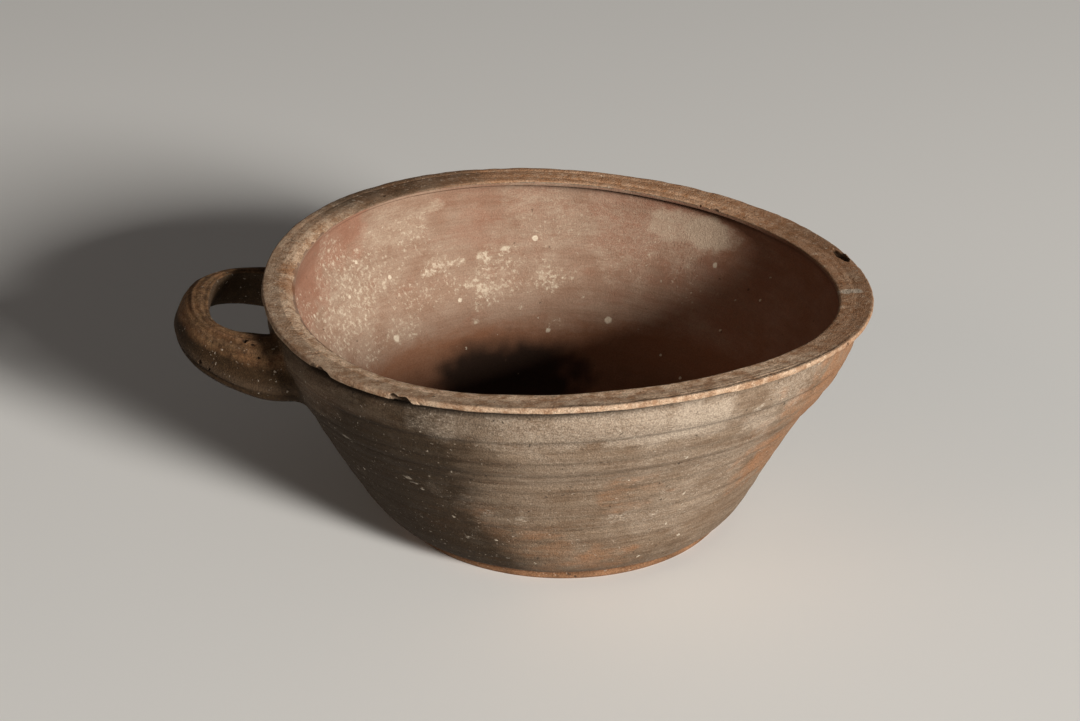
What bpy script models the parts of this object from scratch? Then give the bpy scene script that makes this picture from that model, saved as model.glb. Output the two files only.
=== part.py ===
"""A wheel-thrown terracotta saucepan with one horizontal loop handle.

Lengths are in metres and +Z is up. The origin is the middle of the flat underside, and the handle points
to -X. The bowl was turned round and true, and then sagged a little before it dried and was fired, so every
turned shape goes through the function sagged().
"""

import math

import bmesh
import bpy
from mathutils import Matrix, Vector

# Rim, collar and wall. The collar is the rounded band just under the rim
HEIGHT = 0.0840
RIM_RADIUS = 0.1050
RIM_WIDTH = 0.0118
RIM_DISH = 0.0010
LIP_HEIGHT = 0.0028
LIP_UNDERCUT = 0.0014
INNER_LIP_HEIGHT = 0.0020
INNER_LIP_UNDERCUT = 0.0012
LIP_ROUNDING = 0.0012
INNER_LIP_ROUNDING = 0.0006
COLLAR_INSET = 0.0033
COLLAR_HEIGHT = 0.0102
COLLAR_BULGE = 0.0007
COLLAR_STEP = 0.0007
SHOULDER_HEIGHT = 0.0190
SHOULDER_SWELL = 0.0012
WALL = 0.0058

# Heel, foot and floor. The groove's floor lies between two shares of the groove's height
HEEL_HEIGHT = 0.0168
HEEL_RADIUS = 0.0716
HEEL_OVERHANG = 0.0028
HEEL_FLARE = 1.3
FOOT_RADIUS = 0.0592
FOOT_HEIGHT = 0.0022
FOOT_CHAMFER = 0.0009
GROOVE_HEIGHT = 0.0022
GROOVE_DEPTH = 0.0006
GROOVE_FLOOR = (0.7, 0.2)
FLOOR = 0.0075
FLOOR_FLAT_RADIUS = 0.0440
FLOOR_BEND_HEIGHT = 0.0145

# Sagging: waves round the bowl, as how many, how far at the rim, and the bearing of a crest in degrees
LIFT_WAVES = ((1, 0.0030, 222), (2, 0.0029, 119), (3, 0.0006, 48))
ROUND_WAVES = ((3, 0.0009, 17),)
RIM_OFFSET = Vector((0.0014, 0.0020))
WALL_SAG = 0.0030

# Loop handle: bearings are 0 at the loop's outer end, negative on the front leg and positive on the back one.
# A squareness of 2 is a true ellipse. A section fullness of 1 is an oval, and less is nearer to a rectangle
GAP_REACH = 0.0194
GAP_FRONT = 0.0272
GAP_BACK = 0.0284
GAP_SQUARENESS = 3.4
LOOP_REACH = 0.0258
LOOP_SQUARENESS = 2.1
END_THICKNESS = 0.0117
FRONT_THICKNESS = 0.0123
BACK_THICKNESS = 0.0085
END_TOP_DROP = 0.0035
FRONT_TOP_DROP = 0.0070
BACK_TOP_DROP = 0.0090
END_HEIGHT = 0.0135
FRONT_HEIGHT = 0.0188
BACK_HEIGHT = 0.0172
LOOP_LEAN = 0.0026
SECTION_FULLNESS = 0.75
ROOT_LENGTH = 0.0240
ROOT_FLARE = 0.0036
ROOT_FLARE_LENGTH = 0.0180
ROOT_FLARE_UPWARD = 0.25

# Chips in the rim: bearing in degrees, length along the edge, depth into the clay, and distance under the top.
# A bite is so many times its depth across, and leans by the tilt in degrees
CHIPS = (
    ("chip_front_left", 221, 0.0062, 0.0017, 0.0010),
    ("chip_front", 240, 0.0046, 0.0016, 0.0010),
    ("chip_back_right", 17, 0.0080, 0.0016, 0.0004),
)
CHIP_BITE = 2.1
CHIP_TILT = 40

# How finely the shapes are cut
SEGMENTS = 68
WALL_STEPS = 6
FLOOR_STEPS = 2
RIM_STEPS = 3
CURVE_STEPS = 5
CORNER_STEPS = 3
LOOP_STEPS = 30
SECTION_STEPS = 18
ROOT_STEPS = 6
SHARP_ANGLE = 35
MERGE_DISTANCE = 0.00002

TERRACOTTA = (0.42, 0.25, 0.16, 1.0)
ROUGHNESS = 0.85


def clear_scene():
    for obj in list(bpy.data.objects):
        bpy.data.objects.remove(obj)


def new_collection(name):
    collection = bpy.data.collections.new(name)
    bpy.context.scene.collection.children.link(collection)
    return collection


def clay(name, colour, roughness):
    material = bpy.data.materials.new(name)
    material.use_nodes = True
    shader = material.node_tree.nodes["Principled BSDF"]
    shader.inputs["Base Color"].default_value = colour
    shader.inputs["Roughness"].default_value = roughness
    shader.inputs["Metallic"].default_value = 0.0
    return material


def line(start, end, steps):
    """Points from start to end, without the end."""
    return [start.lerp(end, k / steps) for k in range(steps)]


def bend(start, corner, end, steps):
    """A round stretch from start to end that leaves and arrives pointing at the corner, without the end."""
    points = []
    for k in range(steps):
        t = k / steps
        points.append(start * (1 - t) ** 2 + corner * (2 * t * (1 - t)) + end * t**2)
    return points


def spot(radius, height):
    return Vector((radius, height))


def cone_point(height):
    """The outside of the straight wall at a height."""
    crease = spot(collar_radius() - COLLAR_STEP - COLLAR_BULGE, collar_foot())
    heel = spot(HEEL_RADIUS, HEEL_HEIGHT)
    return heel.lerp(crease, (height - heel.y) / (crease.y - heel.y))


def collar_radius():
    return RIM_RADIUS - COLLAR_INSET


def collar_top():
    return HEIGHT - LIP_HEIGHT - LIP_UNDERCUT


def collar_foot():
    return collar_top() - COLLAR_HEIGHT


def wall_inward():
    """The direction into the clay at right angles to the straight wall."""
    along = (cone_point(HEIGHT) - cone_point(0)).normalized()
    return spot(-along.y, along.x)


def rim_profile():
    """From the inner lip's underside, over the dished top, to the outer lip's underside."""
    foot = HEIGHT - LIP_HEIGHT
    inner_foot = spot(RIM_RADIUS - RIM_WIDTH, HEIGHT - RIM_DISH - INNER_LIP_HEIGHT)
    inner_corner = inner_foot + spot(0, INNER_LIP_HEIGHT)
    outer_corner = spot(RIM_RADIUS, HEIGHT)
    across = (outer_corner - inner_corner).normalized()
    inner_side = inner_corner - spot(0, INNER_LIP_ROUNDING)
    inner_top = inner_corner + across * LIP_ROUNDING
    outer_top = outer_corner - across * LIP_ROUNDING
    outer_side = outer_corner - spot(0, LIP_ROUNDING)
    under = spot(RIM_RADIUS - LIP_ROUNDING, foot)
    points = [inner_foot]
    points += bend(inner_side, inner_corner, inner_top, CORNER_STEPS)
    points += line(inner_top, outer_top, RIM_STEPS)
    points += bend(outer_top, outer_corner, outer_side, CORNER_STEPS)
    points += bend(outer_side, spot(RIM_RADIUS, foot), under, CORNER_STEPS)
    return points + [under]


def collar_profile():
    """Down the rounded band under the rim to the crease at its foot. A bend goes half way to its corner."""
    head = spot(collar_radius(), collar_top())
    foot = spot(collar_radius() - COLLAR_BULGE, collar_foot() + COLLAR_STEP)
    belly = spot(collar_radius() + 2 * COLLAR_BULGE, (head.y + foot.y) / 2)
    return bend(head, belly, foot, CURVE_STEPS) + [foot, cone_point(collar_foot())]


def wall_profile():
    """Down the swelling shoulder, the straight wall and the round heel to the groove above the foot."""
    crease = cone_point(collar_foot())
    shoulder = cone_point(collar_foot() - SHOULDER_HEIGHT)
    swell = (crease + shoulder) / 2 - wall_inward() * SHOULDER_SWELL * 2
    heel = spot(HEEL_RADIUS, HEEL_HEIGHT)
    seat = spot(FOOT_RADIUS + HEEL_OVERHANG, FOOT_HEIGHT + GROOVE_HEIGHT)
    slope = (cone_point(HEIGHT).x - cone_point(0).x) / HEIGHT
    belly_height = (cone_point(0).x - seat.x + HEEL_FLARE * seat.y) / (HEEL_FLARE - slope)
    points = bend(crease, swell, shoulder, CURVE_STEPS)[1:]
    points += line(shoulder, heel, WALL_STEPS)
    points += bend(heel, cone_point(belly_height), seat, CURVE_STEPS)
    return points + [seat]


def foot_profile():
    """The groove, the low foot disc and the flat underside, in to the axis."""
    groove = FOOT_RADIUS - GROOVE_DEPTH
    upper, lower = GROOVE_FLOOR
    return [
        spot(groove, FOOT_HEIGHT + GROOVE_HEIGHT * upper),
        spot(groove, FOOT_HEIGHT + GROOVE_HEIGHT * lower),
        spot(FOOT_RADIUS, FOOT_HEIGHT),
        spot(FOOT_RADIUS, FOOT_CHAMFER),
        spot(FOOT_RADIUS - FOOT_CHAMFER, 0),
        spot(0, 0),
    ]


def inside_profile():
    """From the middle of the floor up the inside of the wall to the inner lip's underside."""
    inward = wall_inward() * WALL
    floor_edge = spot(FLOOR_FLAT_RADIUS, FLOOR)
    wall_low = cone_point(FLOOR + FLOOR_BEND_HEIGHT) + inward
    wall_high = cone_point(collar_foot() - WALL) + inward
    slope = (wall_high - wall_low).normalized()
    corner = wall_low - slope * ((wall_low.y - FLOOR) / slope.y)
    head = spot(collar_radius() - WALL, HEIGHT - RIM_DISH - INNER_LIP_HEIGHT - INNER_LIP_UNDERCUT)
    turn = wall_low + slope * ((head.x - wall_low.x) / slope.x)
    points = line(spot(0, FLOOR), floor_edge, FLOOR_STEPS)
    points += bend(floor_edge, corner, wall_low, CURVE_STEPS)
    points += line(wall_low, wall_high, WALL_STEPS)
    points += bend(wall_high, turn, head, CURVE_STEPS)
    return points + [head]


def core_profile():
    """A solid whose side runs down the middle of the wall's thickness. It trims the handle's roots."""
    half = WALL / 2
    top = spot(collar_radius() - half, HEIGHT - LIP_HEIGHT / 2)
    foot = spot(collar_radius() - half, collar_foot())
    low = cone_point(HEEL_HEIGHT) + wall_inward() * half
    return [spot(0, top.y), top, foot] + line(foot, low, WALL_STEPS)[1:] + [low, spot(0, low.y)]


def smooth(share):
    """An even start and stop between 0 and 1."""
    share = max(0.0, min(1.0, share))
    return share * share * (3 - 2 * share)


def sagged(point):
    """Where a point of the true turned shape went when the soft clay sagged. The underside stays flat."""
    share = max(0.0, min(1.0, point.z / HEIGHT))
    near_rim = smooth(share)
    bearing = math.atan2(point.y, point.x)
    lift = 0
    for count, height, crest in LIFT_WAVES:
        lift += height * math.cos(count * (bearing - math.radians(crest)))
    stretch = 1
    for count, reach, crest in ROUND_WAVES:
        stretch += near_rim * reach / RIM_RADIUS * math.cos(count * (bearing - math.radians(crest)))
    shift = RIM_OFFSET * share
    shift.x -= WALL_SAG * 4 * share * (1 - share)  # most at half the height
    return Vector((point.x * stretch + shift.x, point.y * stretch + shift.y, point.z + near_rim * lift))


def new_object(name, mesh, collection):
    obj = bpy.data.objects.new(name, mesh)
    collection.objects.link(obj)
    return obj


def hide_helper(obj):
    obj.hide_render = True
    obj.display_type = "WIRE"


def turned(name, profile, collection):
    """An object with this profile turned round the Z axis, and then sagged."""
    mesh = bpy.data.meshes.new(name)
    mesh.from_pydata([(p.x, 0, p.y) for p in profile], [(k, k + 1) for k in range(len(profile) - 1)], [])
    obj = new_object(name + "_profile", mesh, collection)
    screw = obj.modifiers.new("Turn", "SCREW")
    screw.steps = SEGMENTS
    screw.render_steps = SEGMENTS
    screw.use_merge_vertices = True
    screw.merge_threshold = MERGE_DISTANCE
    graph = bpy.context.evaluated_depsgraph_get()
    round_mesh = bpy.data.meshes.new_from_object(obj.evaluated_get(graph))
    bpy.data.objects.remove(obj)
    round_mesh.name = name
    for vertex in round_mesh.vertices:
        vertex.co = sagged(vertex.co)
    return new_object(name, round_mesh, collection)


def squarish(reach, side, bearing, squareness):
    """Distance from the middle of an oval to its edge."""
    along = abs(math.cos(bearing) / reach) ** squareness
    across = abs(math.sin(bearing) / side) ** squareness
    return (along + across) ** (-1 / squareness)


def blend(at_end, at_leg, bearing):
    """A size that changes evenly from the loop's outer end to its legs."""
    return at_end + (at_leg - at_end) * math.sin(bearing) ** 2


def full(share):
    """A share of an oval's half width, moved out towards a rectangle's."""
    return math.copysign(abs(share) ** SECTION_FULLNESS, share)


def loop_section(bearing, root):
    """One closed section of the handle, root metres along its leg into the wall."""
    front = bearing < 0
    gap_side = GAP_FRONT if front else GAP_BACK
    leg_thickness = FRONT_THICKNESS if front else BACK_THICKNESS
    drop = blend(END_TOP_DROP, FRONT_TOP_DROP if front else BACK_TOP_DROP, bearing)
    height = blend(END_HEIGHT, FRONT_HEIGHT if front else BACK_HEIGHT, bearing)
    centre_x = LOOP_REACH - GAP_REACH - collar_radius()
    inner = squarish(LOOP_REACH, gap_side, bearing, GAP_SQUARENESS)
    outer = squarish(LOOP_REACH + END_THICKNESS, gap_side + leg_thickness, bearing, LOOP_SQUARENESS)
    middle = (inner + outer) / 2
    from_end = root + LOOP_REACH * (1 - math.cos(bearing))
    flare = ROOT_FLARE * smooth((from_end - GAP_REACH + ROOT_FLARE_LENGTH / 2) / ROOT_FLARE_LENGTH)
    rise = flare * ROOT_FLARE_UPWARD
    half_width = (outer - inner) / 2 + flare
    half_height = height / 2 + rise
    middle_height = HEIGHT - drop - half_height
    points = []
    for k in range(SECTION_STEPS):
        turn = 2 * math.pi * k / SECTION_STEPS
        out = full(math.cos(turn))
        up = full(math.sin(turn))
        reach = middle + half_width * out - LOOP_LEAN * up
        x = centre_x - reach * math.cos(bearing) + root
        y = reach * math.sin(bearing)
        points.append(Vector((x, y, middle_height + half_height * up)))
    return points


def loop_sections():
    """All sections from the front leg's root, round the loop, to the back leg's root."""
    roots = [ROOT_LENGTH * k / ROOT_STEPS for k in range(ROOT_STEPS, 0, -1)]
    quarter = math.pi / 2
    sections = [loop_section(-quarter, root) for root in roots]
    for k in range(LOOP_STEPS + 1):
        sections.append(loop_section(-quarter + 2 * quarter * k / LOOP_STEPS, 0))
    sections += [loop_section(quarter, root) for root in reversed(roots)]
    return sections


def lofted(name, sections, collection):
    """A closed solid through unlike sections that all have the same number of points."""
    shape = bmesh.new()
    rings = [[shape.verts.new(point) for point in section] for section in sections]
    for ring, after in zip(rings, rings[1:]):
        for k in range(len(ring)):
            following = (k + 1) % len(ring)
            shape.faces.new((ring[k], ring[following], after[following], after[k]))
    shape.faces.new(rings[0])
    shape.faces.new(rings[-1])
    bmesh.ops.recalc_face_normals(shape, faces=shape.faces)
    mesh = bpy.data.meshes.new(name)
    shape.to_mesh(mesh)
    shape.free()
    return new_object(name, mesh, collection)


def rim_edge(bearing_degrees, below):
    """A place on the rim's outer edge after sagging."""
    bearing = math.radians(bearing_degrees)
    true_place = Vector((RIM_RADIUS * math.cos(bearing), RIM_RADIUS * math.sin(bearing), HEIGHT - below))
    return sagged(true_place)


def chip(name, bearing_degrees, length, depth, below, collection):
    """A flaked-off bite in the rim's outer edge, as a faceted lump to cut away."""
    shape = bmesh.new()
    bmesh.ops.create_icosphere(shape, subdivisions=2, radius=0.5)
    size = Matrix.Diagonal((CHIP_BITE * depth, length, CHIP_BITE * depth, 1.0))
    facing = Matrix.Rotation(math.radians(bearing_degrees), 4, "Z")
    tilt = Matrix.Rotation(math.radians(CHIP_TILT), 4, "Y")
    bmesh.ops.transform(shape, matrix=facing @ tilt @ size, verts=shape.verts)
    mesh = bpy.data.meshes.new(name)
    shape.to_mesh(mesh)
    shape.free()
    obj = new_object(name, mesh, collection)
    obj.location = rim_edge(bearing_degrees, below)
    hide_helper(obj)
    return obj


def boolean(obj, other, operation):
    modifier = obj.modifiers.new(operation.title() + " " + other.name, "BOOLEAN")
    modifier.operation = operation
    modifier.solver = "EXACT"
    modifier.object = other


def main():
    clear_scene()
    parts = new_collection("Terracotta saucepan")
    helpers = new_collection("Cutters and helpers")

    profile = inside_profile() + rim_profile()
    profile += collar_profile() + wall_profile() + foot_profile()
    saucepan = turned("saucepan", profile, parts)
    saucepan.data.materials.clear()
    saucepan.data.materials.append(clay("Terracotta", TERRACOTTA, ROUGHNESS))

    core = turned("wall_core", core_profile(), helpers)
    hide_helper(core)
    loop = lofted("loop_handle", loop_sections(), helpers)
    hide_helper(loop)
    boolean(loop, core, "DIFFERENCE")
    boolean(saucepan, loop, "UNION")

    for name, bearing, length, depth, below in CHIPS:
        boolean(saucepan, chip(name, bearing, length, depth, below, helpers), "DIFFERENCE")

    saucepan.data.shade_smooth()
    saucepan.data.set_sharp_from_angle(angle=math.radians(SHARP_ANGLE))


main()
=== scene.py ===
# %% [markdown]
# # A wheel-thrown terracotta saucepan
# The real pan is one piece of fired clay. A potter threw the bowl on a wheel, turned its rim and foot, pressed a
# loop of clay on one side, let it dry and fired it. Later it was cooked in, broken a little at the rim and buried.
# The imported model gives its measured shape. This lesson makes a finer skin for it, in the order in which the potter
# worked, and then gives that skin its clay, soot, lime, painted shade and light.

import math

import bmesh
import bpy
import numpy as np
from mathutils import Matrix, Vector, noise
from mathutils.bvhtree import BVHTree
from mathutils.kdtree import KDTree


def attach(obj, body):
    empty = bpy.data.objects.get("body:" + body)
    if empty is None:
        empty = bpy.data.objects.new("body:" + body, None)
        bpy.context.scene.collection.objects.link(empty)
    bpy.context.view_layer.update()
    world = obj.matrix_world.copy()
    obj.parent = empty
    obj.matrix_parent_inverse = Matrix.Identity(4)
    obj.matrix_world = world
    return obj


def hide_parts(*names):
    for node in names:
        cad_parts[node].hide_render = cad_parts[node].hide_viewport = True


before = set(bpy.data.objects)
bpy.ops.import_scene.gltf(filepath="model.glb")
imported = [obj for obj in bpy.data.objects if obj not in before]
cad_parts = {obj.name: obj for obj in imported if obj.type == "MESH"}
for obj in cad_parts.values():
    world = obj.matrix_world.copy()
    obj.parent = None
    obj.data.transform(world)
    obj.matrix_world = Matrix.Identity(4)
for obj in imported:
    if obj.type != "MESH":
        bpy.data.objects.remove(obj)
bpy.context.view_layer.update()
scene = bpy.context.scene

# %% [markdown]
# ## The camera
# The photograph looks at the pan from the front and a little above, with the handle to the left. The rim's ellipse
# gives the height of the view, and how fast the pan gets narrower towards its foot gives the distance.

# %% Camera
IMAGE_SIZE = (1080, 721)
VIEW_HEIGHT = math.radians(26.05)
VIEW_DISTANCE = 0.84
VIEW_TARGET = Vector((-0.0077, 0.002, 0.0521))
FOCAL_PIXELS = 2404

towards_eye = Vector((0, -math.cos(VIEW_HEIGHT), math.sin(VIEW_HEIGHT)))
bpy.ops.object.camera_add(
    location=VIEW_TARGET + VIEW_DISTANCE * towards_eye,
    rotation=(math.pi / 2 - VIEW_HEIGHT, 0, 0),
)
camera = bpy.context.object
camera.data.sensor_width = 36
camera.data.lens = FOCAL_PIXELS * camera.data.sensor_width / IMAGE_SIZE[0]
scene.camera = camera
print("lens in millimetres:", round(camera.data.lens, 2))

# %% [markdown]
# ## Sizes of the bowl
# These are the turned shape's own sizes, in metres: how far from the wheel's axis and how high. The rim is a flat
# flange with a small lip on both sides, and a rounded collar runs below it. The wall is straight and leans out.

# %% Sizes of the bowl
HEIGHT = 0.084
RIM_RADIUS = 0.105
RIM_WIDTH = 0.0118
RIM_DISH = 0.001
LIP_HEIGHT = 0.0028
LIP_UNDERCUT = 0.0014
INNER_LIP_HEIGHT = 0.002
INNER_LIP_UNDERCUT = 0.0012
LIP_ROUNDING = 0.0012
COLLAR_RADIUS = 0.1017
COLLAR_HEIGHT = 0.0102
COLLAR_BULGE = 0.0007
COLLAR_STEP = 0.0007
SHOULDER_HEIGHT = 0.019
SHOULDER_SWELL = 0.0012
WALL = 0.0058
HEEL = Vector((0.0716, 0.0168))
SEAT = Vector((0.062, 0.0044))
HEEL_FLARE = 1.3
FOOT_RADIUS = 0.0592
FOOT_HEIGHT = 0.0022
FOOT_CHAMFER = 0.0009
GROOVE_DEPTH = 0.0006
FLOOR = 0.0075
FLOOR_FLAT_RADIUS = 0.044
FLOOR_BEND_HEIGHT = 0.0145
INNER_EDGE = RIM_RADIUS - RIM_WIDTH
INNER_LIP_FOOT = HEIGHT - RIM_DISH - INNER_LIP_HEIGHT
COLLAR_TOP = HEIGHT - LIP_HEIGHT - LIP_UNDERCUT
COLLAR_FOOT = COLLAR_TOP - COLLAR_HEIGHT
CREASE = Vector((COLLAR_RADIUS - COLLAR_STEP - COLLAR_BULGE, COLLAR_FOOT))
WALL_LEAN = (CREASE.x - HEEL.x) / (CREASE.y - HEEL.y)


def cone(height):
    """The outside of the straight wall at this height, as radius and height."""
    return HEEL + (height - HEEL.y) * Vector((WALL_LEAN, 1))


along_wall = Vector((WALL_LEAN, 1)).normalized()
INTO_WALL = Vector((-along_wall.y, along_wall.x)) * WALL
print("the wall leans out", round(math.degrees(math.atan(WALL_LEAN)), 1), "degrees")

# %% [markdown]
# ## The profile
# A potter's rib cuts one outline while the clay turns. Here that outline is a list of places, from the middle of the
# floor up the inside, over the rim and down the outside to the middle of the underside. Straight stretches and soft
# bends are cut into short steps, shorter where the photograph shows fine turning lines.

# %% The profile
FINE, MIDDLE, COARSE, FLAT = 0.00055, 0.00085, 0.0014, 0.004


def straight(start, end, step):
    """Places from start to end, without the end."""
    count = max(1, math.ceil((end - start).length / step))
    return [start.lerp(end, k / count) for k in range(count)]


def bend(start, corner, end, step):
    """A soft bend that leaves and arrives pointing at the corner, without the end."""
    count = max(2, math.ceil(((corner - start).length + (end - corner).length) / step))
    shares = [k / count for k in range(count)]
    return [start * (1 - t) ** 2 + corner * (2 * t * (1 - t)) + end * t**2 for t in shares]


def inside_places():
    edge = Vector((FLOOR_FLAT_RADIUS, FLOOR))
    low = cone(FLOOR + FLOOR_BEND_HEIGHT) + INTO_WALL
    high = cone(COLLAR_FOOT - WALL) + INTO_WALL
    slope = high - low
    corner = low - slope * ((low.y - FLOOR) / slope.y)
    head = Vector((COLLAR_RADIUS - WALL, INNER_LIP_FOOT - INNER_LIP_UNDERCUT))
    turn = low + slope * ((head.x - low.x) / slope.x)
    places = straight(Vector((0, FLOOR)), edge, FLAT) + bend(edge, corner, low, COARSE)
    places += straight(low, high, COARSE) + bend(high, turn, head, COARSE)
    return places + straight(head, Vector((INNER_EDGE, INNER_LIP_FOOT)), FINE)


def rim_places():
    inner = Vector((INNER_EDGE, HEIGHT - RIM_DISH))
    outer = Vector((RIM_RADIUS, HEIGHT))
    across = (outer - inner).normalized() * LIP_ROUNDING
    side = inner - Vector((0, LIP_ROUNDING / 2))
    places = straight(inner - Vector((0, INNER_LIP_HEIGHT)), side, FINE)
    places += bend(side, inner, inner + across, FINE / 2)
    places += straight(inner + across, outer - across, FINE)
    down = outer - Vector((0, LIP_ROUNDING))
    places += bend(outer - across, outer, down, FINE / 2)
    under = Vector((RIM_RADIUS - LIP_ROUNDING, HEIGHT - LIP_HEIGHT))
    places += bend(down, Vector((RIM_RADIUS, under.y)), under, FINE)
    return places + straight(under, Vector((COLLAR_RADIUS, COLLAR_TOP)), FINE)


def outside_places():
    head = Vector((COLLAR_RADIUS, COLLAR_TOP))
    foot = Vector((COLLAR_RADIUS - COLLAR_BULGE, COLLAR_FOOT + COLLAR_STEP))
    belly = Vector((COLLAR_RADIUS + 2 * COLLAR_BULGE, (head.y + foot.y) / 2))
    shoulder = cone(COLLAR_FOOT - SHOULDER_HEIGHT)
    swell = (CREASE + shoulder) / 2 - INTO_WALL.normalized() * SHOULDER_SWELL * 2
    heel_height = (cone(0).x - SEAT.x + HEEL_FLARE * SEAT.y) / (HEEL_FLARE - WALL_LEAN)
    places = bend(head, belly, foot, MIDDLE) + straight(foot, CREASE, FINE)
    places += bend(CREASE, swell, shoulder, MIDDLE) + straight(shoulder, HEEL, MIDDLE)
    places += bend(HEEL, cone(heel_height), SEAT, MIDDLE)
    groove = [Vector((FOOT_RADIUS - GROOVE_DEPTH, h)) for h in (0.0037, 0.0027)]
    foot_side = [Vector((FOOT_RADIUS, FOOT_HEIGHT)), Vector((FOOT_RADIUS, FOOT_CHAMFER))]
    corners = [SEAT, *groove, *foot_side, Vector((FOOT_RADIUS - FOOT_CHAMFER, 0))]
    for start, end in zip(corners, corners[1:]):
        places += straight(start, end, FINE)
    return places + straight(corners[-1], Vector((0, 0)), FLAT) + [Vector((0, 0))]


profile = inside_places() + rim_places() + outside_places()
print(len(profile), "places in the profile")

# %% [markdown]
# ## Turning the bowl
# In Blender the wheel is the Spin operator. One corner point is extruded from place to place until it has drawn the
# whole profile, and Spin carries that line round the axis. Merging the doubles closes the seam and the two poles.

# %% Turn the bowl
TURNS = 272


def pick(*objects):
    """Selects these objects and nothing else, and makes the first one active."""
    bpy.ops.object.select_all(action="DESELECT")
    for obj in objects:
        obj.select_set(True)
    bpy.context.view_layer.objects.active = objects[0]

def start_editing(obj):
    pick(obj)
    bpy.ops.object.mode_set(mode="EDIT")
    bpy.ops.mesh.select_mode(type="VERT")
    bpy.ops.mesh.select_all(action="SELECT")


def stop_editing():
    bpy.ops.object.mode_set(mode="OBJECT")


def turned(name, places, steps):
    """A closed shape of this profile, turned round the upright axis."""
    bpy.ops.mesh.primitive_plane_add(size=0.001, location=(0, 0, 0))
    obj = bpy.context.object
    obj.name = obj.data.name = name
    start_editing(obj)
    bpy.ops.mesh.merge(type="CENTER")
    bpy.ops.transform.translate(value=(places[0].x, 0, places[0].y))
    for here, after in zip(places, places[1:]):
        step = after - here
        bpy.ops.mesh.extrude_vertices_move(TRANSFORM_OT_translate={"value": (step.x, 0, step.y)})
    bpy.ops.mesh.select_all(action="SELECT")
    bpy.ops.mesh.spin(steps=steps, angle=2 * math.pi, center=(0, 0, 0), axis=(0, 0, 1))
    bpy.ops.mesh.select_all(action="SELECT")
    bpy.ops.mesh.remove_doubles(threshold=0.00001)
    bpy.ops.mesh.normals_make_consistent(inside=False)
    stop_editing()
    return obj


bowl = turned("bowl", profile, TURNS)
print("the turned bowl has", len(bowl.data.polygons), "faces")

# %% [markdown]
# ## Throwing rings, tool lines and uneven hands
# Wet clay keeps every touch. Fingers leave low rings, the rib leaves lines, and the lip is tucked in deeper on one
# side than on the other. All of this is shallow, so it is made by moving the turned points in or out along their
# normals. The numbers are hundredths and tenths of a millimetre.

# %% Helpers that work on many points at once
def points_of(obj):
    flat = np.empty(len(obj.data.vertices) * 3)
    obj.data.vertices.foreach_get("co", flat)
    return flat.reshape(-1, 3)


def normals_of(obj):
    flat = np.empty(len(obj.data.vertices) * 3)
    obj.data.vertex_normals.foreach_get("vector", flat)
    return flat.reshape(-1, 3)


def put_points(obj, points):
    obj.data.vertices.foreach_set("co", points.ravel())
    obj.data.update()


def smooth(share):
    share = np.clip(share, 0, 1)
    return share * share * (3 - 2 * share)


def lumps(points, size, seed=0):
    """Soft noise from -1 to 1, with lumps of about this size in metres."""
    shift = Vector((seed * 7.31, seed * 3.17, seed * 5.73))
    return np.array([noise.noise(Vector(p) + shift) for p in points / size])


def facing(bearing, middle, reach):
    """1 at a bearing in degrees, and down to 0 this many degrees away from it."""
    away = (np.degrees(bearing) - middle + 180) % 360 - 180
    return smooth(1 - np.abs(away) / reach)


def hump(value, middle, width):
    return np.exp(-(((value - middle) / width) ** 2))


def middle_of_wall(height):
    """The radius half way through the clay, on the turned shape."""
    return np.minimum(HEEL.x + (height - HEEL.y) * WALL_LEAN + INTO_WALL.x / 2, COLLAR_RADIUS - WALL / 2)


# %% Relief of the bowl
WALL_RINGS = (
    (0.0031, 0.00004, 1, 0.4), (0.0019, 0.00004, -1, 2.1), (0.0053, 0.00004, 1, 4.0), (0.0088, 0.00005, 2, 1.3),
)
INNER_RINGS = ((0.0047, 0.00004, 1, 0.9), (0.0083, 0.00008, -1, 3.3), (0.015, 0.00016, 1, 5.2))
# Height, depth and width of each tool line, then the bearing where it is deepest and how far it runs
WALL_LINES = (
    (0.0604, 0.0003, 0.0005, 255, 150), (0.0548, 0.00034, 0.0005, 262, 120), (0.0517, 0.00016, 0.0004, 245, 90),
    (0.0462, 0.00018, 0.0005, 290, 110), (0.0398, 0.00015, 0.0004, 250, 90), (0.0341, 0.00016, 0.0005, 275, 140),
    (0.0285, 0.00018, 0.0005, 240, 110), (0.0655, 0.00016, 0.0004, 300, 90), (0.0225, 0.00013, 0.0004, 285, 120),
    (0.058, 0.00026, 0.0005, 60, 130), (0.0435, 0.00024, 0.0005, 90, 120), (0.031, 0.00018, 0.0005, 120, 140),
)
# The same for the top of the rim, by radius
RIM_LINES = (
    (0.1031, 0.00036, 0.0004, 298, 66), (0.1016, 0.00014, 0.0004, 300, 55), (0.097, 0.00008, 0.0006, 250, 70),
    (0.1041, 0.0001, 0.0003, 310, 50), (0.1018, 0.00024, 0.0004, 110, 90), (0.0966, 0.0003, 0.0005, 60, 75),
    (0.0992, 0.00012, 0.0006, 30, 60),
)


def rings(height, bearing, waves):
    return sum(deep * np.sin(2 * np.pi * height / long + twist * bearing + start) for long, deep, twist, start in waves)


def tool_lines(value, bearing, lines):
    return sum(
        deep * hump(value, at, width) * facing(bearing, middle, reach) for at, deep, width, middle, reach in lines
    )


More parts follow.
